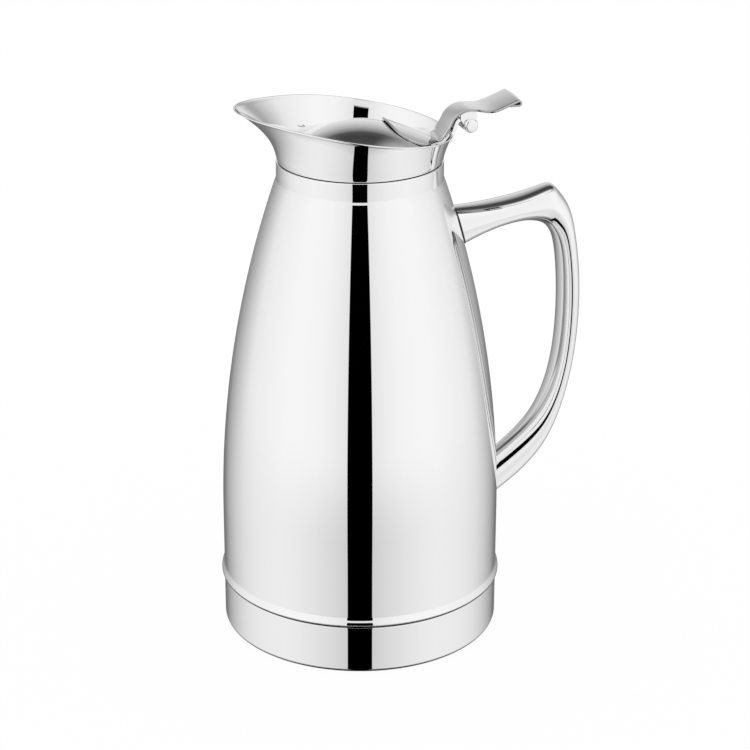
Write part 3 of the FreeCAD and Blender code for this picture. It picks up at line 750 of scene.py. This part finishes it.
class LeverShape:
    """Upper surface of the lever as a bent strip: place along it, place across it, depth into it."""

    def __init__(self, lever, lid):
        self.lever = lever
        self.fall = lever.slope
        self.ball = lid.dome + lever.thickness
        self.centre_z = dome_centre(lid)
        self.leaf_end = lid.radius - LEAF_MARGIN
        self.tip_x = self.leaf_end - lever.leaf_length
        self.stations = []
        self.run_stations()
        self.flat_from = (self.leaf_end - self.tip_x) / math.cos(self.fall)
        self.length = self.stations[-1][0]

    def crown(self, x):
        """Point of the leaf's middle line above x."""
        return Vector((x, self.centre_z - x * math.tan(self.fall) + self.ball / math.cos(self.fall)))

    def ball_drop(self, across):
        """How far the leaf falls away to the side, round the ball of the dome."""
        return self.ball - math.sqrt(self.ball ** 2 - across ** 2)

    def corners(self):
        """Corners of the strap's middle line from tip to tail, and the radii of the bends between."""
        hinge = Vector((HINGE.x, HINGE.z))
        bend_x = self.leaf_end + LEAF_BEND_OUT * math.cos(self.fall)
        points = [self.crown(self.tip_x), self.crown(bend_x)]
        points += [hinge + offset for offset in (CREASE_LOW, CREASE_HIGH, HUMP, VALLEY)]
        half_side = CURL_R * math.tan(CURL_TURN / 2.0)
        heading = TAB_ANGLE
        for size in (TAB_LENGTH + half_side, 2.0 * half_side, half_side + CURL_TAIL):
            points.append(points[-1] + Vector((math.cos(heading), math.sin(heading))) * size)
            heading -= CURL_TURN
        return points, [LEAF_BEND_R, 0.0, 0.0, HUMP_R, VALLEY_R, CURL_R, CURL_R]

    def add(self, point, normal):
        """Next station of the strip, unless the last one is in the same place."""
        along = 0.0
        if self.stations:
            step = (point - self.stations[-1][1]).length
            if step < WELD:
                return
            along = self.stations[-1][0] + step
        self.stations.append((along, point, normal))

    def run_to(self, end, normal):
        """Evenly spaced stations on a straight run from the last one."""
        start = self.stations[-1][1]
        steps = max(1, math.ceil((end - start).length / RUN_STEP))
        for k in range(1, steps + 1):
            self.add(start.lerp(end, k / steps), normal)

    def run_stations(self):
        """Stations along straight runs, round bends and over creases, from the tip to the tail."""
        points, radii = self.corners()
        ways = [(b - a).normalized() for a, b in zip(points, points[1:])]
        sides = [Vector((-way.y, way.x)) for way in ways]
        self.add(points[0], sides[0])
        for k, radius in enumerate(radii):
            corner, before, after = points[k + 1], ways[k], ways[k + 1]
            turn = -before.angle_signed(after)
            if radius > 0.0:
                reach = radius * math.tan(abs(turn) / 2.0)
                self.run_to(corner - before * reach, sides[k])
                middle = self.stations[-1][1] + sides[k] * math.copysign(radius, turn)
                steps = max(2, math.ceil(abs(turn) / ARC_STEP))
                for step in range(1, steps + 1):
                    side = Matrix.Rotation(turn * step / steps, 2) @ sides[k]
                    self.add(middle - side * math.copysign(radius, turn), side)
            else:
                self.run_to(corner - before * CREASE_HALF, sides[k])
                mitre = (sides[k] + sides[k + 1]) / (1.0 + sides[k].dot(sides[k + 1]))
                self.add(corner, mitre)
                self.add(corner + after * CREASE_HALF, sides[k + 1])
        self.run_to(points[-1], sides[-1])

    def place(self, along, across, depth):
        """Point of the lever in the frame of the jug."""
        last = len(self.stations) - 1
        k = 1
        while k < last and self.stations[k][0] < along:
            k += 1
        (a, p, n), (b, q, m) = self.stations[k - 1], self.stations[k]
        part = (along - a) / (b - a)
        point, normal = p.lerp(q, part), n.lerp(m, part)
        bent = ease((self.flat_from + CROWN_FADE - along) / (2.0 * CROWN_FADE))
        sag = bent * self.ball_drop(across)
        sag += (1.0 - bent) * across ** 2 / (2.0 * CROWN_R)
        point = point - normal * (depth + sag)
        return Vector((point.x, across, point.y))

    def along_leaf(self, x, y):
        """Place along the strip of a leaf point given by its plan."""
        return (x - self.tip_x + self.ball_drop(y) * math.sin(self.fall)) / math.cos(self.fall)

    def side_line(self):
        """One side of the outline, from the tip to the end of the curl."""
        lever = self.lever
        half, narrow, wide = lever.leaf / 2.0, lever.strap / 2.0, lever.tab / 2.0
        waist = self.tip_x + lever.nose
        front = self.tip_x + lever.nose * (1.0 - math.sqrt(0.5))
        cheek = waist + (self.leaf_end - waist) * CHEEK
        nose = ((self.tip_x, 0), (self.tip_x, half * NOSE_FULLNESS), (front, half), (waist, half))
        back = ((waist, half), (cheek, half), (cheek, (half + narrow) / 2.0), (self.leaf_end, narrow))
        line = []
        for poles, steps in ((nose, NOSE_STEPS), (back, BACK_STEPS)):
            for step in range(steps):
                x, y = bezier(poles, step / steps)
                line.append((self.along_leaf(x, y), y))
        begin = self.along_leaf(self.leaf_end, narrow)
        for along, point, _ in self.stations:
            if along >= begin:
                flare = ease((point.x - HINGE.x - FLARE_START) / FLARE_LENGTH)
                line.append((along, narrow + (wide - narrow) * flare))
        return line


def drawn_in(outline, inset):
    """Closed outline moved inwards by an inset; it runs against the clock."""
    moved = []
    for k, here in enumerate(outline):
        before = (here - outline[k - 1]).normalized()
        after = (outline[(k + 1) % len(outline)] - here).normalized()
        sides = Vector((-before.y, before.x)), Vector((-after.y, after.x))
        moved.append(here + (sides[0] + sides[1]) * (inset / (1.0 + sides[0].dot(sides[1]))))
    return moved


def inside_of(outline, point, margin):
    """Whether a point lies inside an outline, and clear of its corners by a margin."""
    hit = False
    for a, b in zip(outline, outline[1:] + outline[:1]):
        if (a - point).length < margin:
            return False
        if (a.y > point.y) != (b.y > point.y):
            if point.x < a.x + (b.x - a.x) * (point.y - a.y) / (b.y - a.y):
                hit = not hit
    return hit


def lever_mesh(lever, lid):
    """Bent strap with rolled edges; its edges and its underside take the second finish, with painted shade.
    """
    shape = LeverShape(lever, lid)
    side = shape.side_line()
    outline = [Vector((s, -y)) for s, y in side]
    outline += [Vector((shape.length, lever.tab * (k / END_STEPS - 0.5))) for k in range(1, END_STEPS)]
    outline += [Vector(p) for p in reversed(side[1:])]
    edge = lever.edge
    inner = drawn_in(outline, edge)
    fill = list(inner)
    columns = math.ceil(lever.leaf / 2.0 / FILL_STEP)
    for along, _, _ in shape.stations:
        spots = [Vector((along, k * FILL_STEP)) for k in range(-columns, columns + 1)]
        fill += [spot for spot in spots if inside_of(inner, spot, FILL_CLEAR)]
    size = len(inner)
    border = [(k, (k + 1) % size) for k in range(size)]
    flat, _, faces, sources, _, _ = delaunay_2d_cdt(
        [p / MM for p in fill], border, [list(range(size))], 1, FILL_CLOSE)
    made = bmesh.new()
    top = [made.verts.new(shape.place(p[0] * MM, p[1] * MM, 0.0)) for p in flat]
    bottom = [made.verts.new(shape.place(p[0] * MM, p[1] * MM, lever.thickness)) for p in flat]
    for face in faces:
        made.faces.new([top[k] for k in face])
        made.faces.new([bottom[k] for k in reversed(face)]).material_index = 1
    home = {origin: k for k, origins in enumerate(sources) for origin in origins}
    turns = [math.pi / 2.0 * k / EDGE_STEPS for k in range(1, EDGE_STEPS + 1)]
    levels = [(edge * (1.0 - math.sin(a)), edge * (1.0 - math.cos(a))) for a in turns]
    levels += [(inset, lever.thickness - depth) for inset, depth in reversed(levels)]
    rings = [[top[home[k]] for k in range(size)]]
    for inset, depth in levels:
        rings.append([made.verts.new(shape.place(p.x, p.y, depth)) for p in drawn_in(outline, inset)])
    rings.append([bottom[home[k]] for k in range(size)])
    # The underside and all but the top of the rolled edges take the darker finish: painted shade under the
    # strap and inside the curl
    for band in bridge(made, rings)[EDGE_STEPS // 2:]:
        for face in band:
            face.material_index = 1
    return made


class JUG_OT_lever(bpy.types.Operator):
    """Thumb lever: leaf on the dome, folds and hump over the hinge, thumb tab with a curled end"""

    bl_idname = "jug.lever"
    bl_label = "Thumb lever"

    def execute(self, context):
        made = lever_mesh(context.scene.jug_lever, context.scene.jug_lid)
        # Its second finish is duller steel with painted shade
        lever = mesh_piece("lift_lever", made, finish("mirror_steel"), finish("dull_edge_and_painted_shade"))
        settle(lever, "lid", "thumb_lever")
        return {"FINISHED"}


# Hinge pin

PIN_AROUND = 48


def pin_mesh(settings):
    """Headed pin on the hinge axis, with rolled edges on its heads."""
    head, shank, ears = settings.head, settings.shank, settings.ears
    end = ears + settings.head_height
    flat = head / 3.0
    half = rounded((flat, end, 0), (head, end, settings.head_edge), (head, ears, 0), (shank, ears, 0))
    made = bmesh.new()
    turns = [2.0 * math.pi * k / PIN_AROUND for k in range(PIN_AROUND)]
    rings = []
    for radius, across in half + [(r, -y) for r, y in reversed(half)]:
        rings.append([made.verts.new((
            HINGE.x + radius * math.cos(a), across, HINGE.z + radius * math.sin(a))) for a in turns])
    bridge(made, rings)
    made.faces.new(rings[0])
    made.faces.new(rings[-1])
    return made


class JUG_OT_pin(bpy.types.Operator):
    """Headed pin through the ears and the eye of the hinge"""

    bl_idname = "jug.pin"
    bl_label = "Hinge pin"

    def execute(self, context):
        made = pin_mesh(context.scene.jug_pin)
        settle(mesh_piece("rivet_pin", made, finish("mirror_steel")), "lid", "hinge_pin")
        return {"FINISHED"}


# Metals

# Span of the noise that the finishes use, and how far a buffed or a dull roughness drifts over it
NOISE_LOW, NOISE_HIGH = 0.3, 0.7
BUFFED = (0.6, 1.4)
DULL = (0.8, 1.25)
HAZE_SCALE = 45.0
HAZE_DETAIL = 3.0
# Share of a painted shade's reach above its foot over which it is fully dark
PAINTED_SHADE_SHARE = 0.7
BRUSH_STRETCH = (6.0, 6.0, 1400.0)
BRUSH_DETAIL = 4.0
BRUSH_RELIEF = {"Strength": 0.08, "Distance": 0.1 * MM}
CAST_METALLIC = 0.9
CAST_DETAIL = 6.0
CAST_MOTTLE = (0.7, 1.3)

# Finishes of the nodes inside the jug; the others are polished
INSIDE_FINISH = {
    "vacuum_closure": "satin_steel", "liner_bottom": "satin_steel", "liner_lower": "satin_steel",
    "liner_upper": "satin_steel", "lid_pan": "satin_steel", "port_seal": "dull_solder",
    "getter": "sintered_pellet"}


def new_material(name):
    """New material with its node tree and its shader."""
    material = bpy.data.materials.new(name)
    material.use_nodes = True
    tree = material.node_tree
    return material, tree, tree.nodes["Principled BSDF"]


def new_metal(name, shade=None, metallic=1.0):
    """New metal, with its colour where that is the same all over; gives its nodes and the place on it."""
    _, tree, shader = new_material(name)
    shader.inputs["Metallic"].default_value = metallic
    if shade is not None:
        shader.inputs["Base Color"].default_value = (*shade, 1.0)
    return tree, shader, node(tree, "ShaderNodeTexCoord").outputs["Object"]


def finish(name):
    """Finish by name; the metals are made first."""
    return bpy.data.materials[name]


def noise(tree, place, scale, detail):
    """Soft noise over the piece."""
    made = node(tree, "ShaderNodeTexNoise", {"Vector": place, "Scale": scale, "Detail": detail})
    return made.outputs["Fac"]


def drift(tree, shader, grain, roughness, span):
    """Roughness that drifts with a grain between two shares of its usual value."""
    spread = node(tree, "ShaderNodeMapRange", {
        "Value": grain, "From Min": NOISE_LOW, "From Max": NOISE_HIGH,
        "To Min": roughness * span[0], "To Max": roughness * span[1]})
    tree.links.new(spread.outputs["Result"], shader.inputs["Roughness"])


def buff(tree, shader, place, roughness, span):
    """Faint haze from place to place, as on hand-buffed metal."""
    drift(tree, shader, noise(tree, place, HAZE_SCALE, HAZE_DETAIL), roughness, span)


def polished_steel(settings):
    """Mirror polish."""
    tree, shader, place = new_metal("mirror_steel", settings.steel)
    buff(tree, shader, place, settings.polish, BUFFED)


def painted_shade_steel(settings, name, foot_z, reach, shade):
    """The same polish, darkened towards a foot with painted shade, as in a joint or under an edge."""
    tree, shader, place = new_metal(name)
    buff(tree, shader, place, settings.polish, BUFFED)
    height = node(tree, "ShaderNodeSeparateXYZ", {"Vector": place}).outputs["Z"]
    # Painted shade: darkest next to the foot, fading out at the reach above it
    clear = between(tree, height, foot_z + reach * PAINTED_SHADE_SHARE, foot_z + reach, "LINEAR")
    tone = ramp(tree, clear, ((0.0, shade), (1.0, settings.steel[0])))
    tree.links.new(tone, shader.inputs["Base Color"])


def plain_steel(name, shade, roughness):
    """Duller, darker steel than the polished faces beside it; the darkness is painted shade, partly a cut
    edge's own duller steel.
    """
    tree, shader, place = new_metal(name, (shade, shade, shade))
    buff(tree, shader, place, roughness, DULL)


def satin_steel(settings):
    """Brushed inside of the liner and the lid pan, with fine rings round the axis."""
    tree, shader, place = new_metal("satin_steel", settings.satin)
    rings = node(tree, "ShaderNodeMapping", {"Vector": place, "Scale": BRUSH_STRETCH})
    grain = noise(tree, rings.outputs["Vector"], 1.0, BRUSH_DETAIL)
    drift(tree, shader, grain, settings.satin_roughness, DULL)
    relief = node(tree, "ShaderNodeBump", {"Height": grain, **BRUSH_RELIEF})
    tree.links.new(relief.outputs["Normal"], shader.inputs["Normal"])


def cast_metal(name, shade, roughness, scale):
    """Dull metal with a mottled surface, for the solder and the pellet."""
    tree, shader, place = new_metal(name, metallic=CAST_METALLIC)
    grain = noise(tree, place, scale, CAST_DETAIL)
    mottle = zip((NOISE_LOW, NOISE_HIGH), CAST_MOTTLE)
    tone = ramp(tree, grain, [(position, shade * level) for position, level in mottle])
    tree.links.new(tone, shader.inputs["Base Color"])
    shader.inputs["Roughness"].default_value = roughness


class JUG_OT_metal(bpy.types.Operator):
    """Make the finishes and give every CAD node its own"""

    bl_idname = "jug.metal"
    bl_label = "Metal finishes"

    def execute(self, context):
        scene = context.scene
        settings = scene.jug_finish
        polished_steel(settings)
        # Painted shade at the collar's foot, in the joint with the neck
        painted_shade_steel(settings, "steel_collar_painted_shade", scene.jug_collar.foot_z, reach=0.25 * MM, shade=0.4)
        # Painted shade under the bead, where the shell meets the cup
        painted_shade_steel(settings, "steel_shell_painted_shade", scene.jug_body.base, reach=1.7 * MM, shade=0.03)
        # Painted shade at the standing edge of the cup, where it meets the table
        painted_shade_steel(settings, "steel_cup_painted_shade", 0.0, reach=2.2 * MM, shade=0.1)
        # Duller cut edge of the lever, darkened with painted shade under the strap and inside the curl
        plain_steel("dull_edge_and_painted_shade", shade=0.45, roughness=0.2)
        # Painted shade, nearly black, in the crease where the handle is welded to the body
        plain_steel("weld_painted_shade", shade=0.06, roughness=0.3)
        satin_steel(settings)
        cast_metal("dull_solder", shade=0.4, roughness=0.45, scale=300.0)
        cast_metal("sintered_pellet", shade=0.22, roughness=0.7, scale=900.0)
        for name, shown in frame["nodes"].items():
            shown.data.materials.clear()
            shown.data.materials.append(finish(INSIDE_FINISH.get(name, "mirror_steel")))
        return {"FINISHED"}


# Stage

BLACK = (0.0, 0.0, 0.0, 1.0)
WHITE = (1.0, 1.0, 1.0, 1.0)
SENSOR = 36.0
TABLE_PAINT = (0.96, 0.96, 0.96, 1.0)
TABLE_GLOW = 0.95

# Brightness of the tent's walls by the heading from the camera in degrees, low down and higher up
LOW_WALLS = (
    (0, 0.66), (10, 0.68), (22, 0.76), (37, 0.84), (52, 0.90), (67, 0.93), (82, 0.92), (97, 0.89),
    (112, 0.81), (127, 0.66), (142, 0.46), (157, 0.22), (180, 0.12))
HIGH_WALLS = (
    (0, 0.85), (10, 0.86), (22, 0.94), (37, 1.0), (52, 1.02), (67, 1.02), (82, 0.98), (97, 0.95),
    (112, 0.88), (127, 0.66), (142, 0.46), (157, 0.34), (180, 0.30))

# Brightness of the far ceiling by the angle up from the far end of the table in degrees
CEILING = (
    (0, 0.84), (10, 0.77), (20, 0.66), (30, 0.46), (38, 0.24), (42, 0.09), (50, 0.055), (62, 0.07),
    (68, 0.30), (74, 0.85), (78, 1.02))

# Brightness under the jug by how steeply a ray goes down
UNDER = ((0.0, 1.0), (0.86, 1.0), (0.906, 0.75), (0.94, 0.45), (0.966, 0.2), (1.0, 0.05))

# Where one part of the tent gives way to the next: by steepness, and by share of a half turn
WALLS_MEET = (-0.42, -0.2)
CEILING_FROM = (-0.06, 0.06)
CEILING_SIDE = (0.80, 0.92)
SLIT_TOP = (0.498, 0.524)
SLIT_WIDENS = (0.45, 0.85)
SLIT = 10.2 / 180.0
SLIT_EDGE = 0.001
SLIT_SPREAD = 2.2 / 180.0
LEAST_FLAT = 1e-6


def degrees(stops):
    """Ramp stops given by an angle of up to half a turn."""
    return [(stop / 180.0, level) for stop, level in stops]


def tent(tree, camera_side):
    """Brightness of the light tent by direction: pale walls, a slit at the camera, a dark far ceiling."""
    direction = node(tree, "ShaderNodeTexCoord").outputs["Generated"]
    axes = node(tree, "ShaderNodeSeparateXYZ", {"Vector": direction})
    east, north, up = (axes.outputs[k] for k in "XYZ")
    down = maths(tree, "MULTIPLY", up, -1.0)
    toward = maths(tree, "ADD", maths(tree, "MULTIPLY", east, camera_side.x),
                   maths(tree, "MULTIPLY", north, camera_side.y))
    away = maths(tree, "MULTIPLY", toward, -1.0)
    flat = maths(tree, "SUBTRACT", 1.0, maths(tree, "MULTIPLY", up, up))
    level = maths(tree, "SQRT", maths(tree, "MAXIMUM", flat, LEAST_FLAT))
    heading = maths(tree, "ARCCOSINE", maths(tree, "DIVIDE", toward, level))
    heading = maths(tree, "DIVIDE", heading, math.pi)
    roll = maths(tree, "DIVIDE", maths(tree, "ARCTAN2", up, away), math.pi)
    walls = blend(tree, between(tree, up, *WALLS_MEET), ramp(tree, heading, degrees(LOW_WALLS)),
                  ramp(tree, heading, degrees(HIGH_WALLS)))
    far = maths(tree, "MULTIPLY", between(tree, up, *CEILING_FROM), between(tree, heading, *CEILING_SIDE))
    room = blend(tree, far, walls, ramp(tree, roll, degrees(CEILING)))
    room = blend(tree, 1.0, room, ramp(tree, down, UNDER), "MULTIPLY")
    flare = maths(tree, "MULTIPLY", between(tree, down, *SLIT_WIDENS), SLIT_SPREAD)
    beside = maths(tree, "SUBTRACT", heading, flare)
    past_slit = between(tree, beside, SLIT - SLIT_EDGE, SLIT + SLIT_EDGE, "LINEAR")
    shut = maths(tree, "MAXIMUM", past_slit, between(tree, up, *SLIT_TOP))
    return blend(tree, 1.0, room, blend(tree, shut, BLACK, WHITE), "MULTIPLY")


def studio_world(camera_side):
    """White studio whose reflections show the light tent."""
    world = bpy.data.worlds.new("studio")
    world.use_nodes = True
    tree = world.node_tree
    background = tree.nodes["Background"]
    path = node(tree, "ShaderNodeLightPath")
    tone = blend(tree, path.outputs["Is Glossy Ray"], WHITE, tent(tree, camera_side))
    tree.links.new(tone, background.inputs["Color"])
    background.inputs["Strength"].default_value = 1.0
    bpy.context.scene.world = world


def table_top(side):
    """Plain white table that keeps a faint shadow of the jug."""
    data = bpy.data.meshes.new("table_top")
    half = side / 2.0
    corners = [(-half, -half, 0), (half, -half, 0), (half, half, 0), (-half, half, 0)]
    data.from_pydata(corners, [], [(0, 1, 2, 3)])
    table = linked("table_top", data)
    material, tree, shader = new_material("white_table")
    tree.nodes.remove(shader)
    paint = node(tree, "ShaderNodeBsdfDiffuse", {"Color": TABLE_PAINT})
    glow = node(tree, "ShaderNodeEmission", {"Color": WHITE, "Strength": 1.0})
    mixed = node(tree, "ShaderNodeMixShader", {
        "Fac": TABLE_GLOW, 1: paint.outputs["BSDF"], 2: glow.outputs["Emission"]})
    tree.links.new(mixed.outputs["Shader"], tree.nodes["Material Output"].inputs["Surface"])
    data.materials.append(material)
    table.visible_glossy = False


class JUG_OT_stage(bpy.types.Operator):
    """Camera, table and light tent"""

    bl_idname = "jug.stage"
    bl_label = "Studio stage"

    def execute(self, context):
        scene = context.scene
        settings = scene.jug_stage
        camera_side = Vector((-math.sin(settings.azimuth), -math.cos(settings.azimuth), 0.0))
        data = bpy.data.cameras.new("camera")
        camera = linked("camera", data)
        camera.location = camera_side * settings.distance + Vector((0.0, 0.0, settings.height))
        camera.rotation_euler = (math.pi / 2.0 - settings.pitch, 0.0, -settings.azimuth)
        data.sensor_width = SENSOR
        data.lens = settings.lens
        data.shift_x = settings.shift
        scene.camera = camera
        studio_world(camera_side)
        table_top(settings.table)
        scene.view_settings.view_transform = "Standard"
        return {"FINISHED"}


class JUG_PT_panel(bpy.types.Panel):
    """Lists the jug's sizes and operators"""

    bl_idname = "JUG_PT_panel"
    bl_label = "Insulated jug"
    bl_space_type = "VIEW_3D"
    bl_region_type = "UI"
    bl_category = "Jug"

    def draw(self, context):
        for name, group in SETTINGS.items():
            box = self.layout.box()
            box.label(text=group.__doc__)
            for key in group.__annotations__:
                box.prop(getattr(context.scene, name), key)
        for operator in OPERATORS:
            self.layout.operator(operator.bl_idname)


SETTINGS = {
    "jug_body": BodySettings, "jug_collar": CollarSettings, "jug_lid": LidSettings,
    "jug_lever": LeverSettings, "jug_pin": PinSettings, "jug_handle": HandleSettings,
    "jug_finish": FinishSettings, "jug_stage": StageSettings}
OPERATORS = (
    JUG_OT_metal, JUG_OT_turned, JUG_OT_collar, JUG_OT_handle, JUG_OT_lever, JUG_OT_pin, JUG_OT_stage)


def register():
    for cls in (*SETTINGS.values(), *OPERATORS, JUG_PT_panel):
        bpy.utils.register_class(cls)
    for name, cls in SETTINGS.items():
        setattr(bpy.types.Scene, name, PointerProperty(type=cls))


def unregister():
    for name in SETTINGS:
        delattr(bpy.types.Scene, name)
    for cls in reversed((*SETTINGS.values(), *OPERATORS, JUG_PT_panel)):
        bpy.utils.unregister_class(cls)


def main():
    register()
    bpy.ops.jug.metal()
    bpy.ops.jug.turned()
    bpy.ops.jug.collar()
    bpy.ops.jug.handle()
    bpy.ops.jug.lever()
    bpy.ops.jug.pin()
    bpy.ops.jug.stage()
    bpy.context.view_layer.update()


if __name__ == "__main__":
    main()
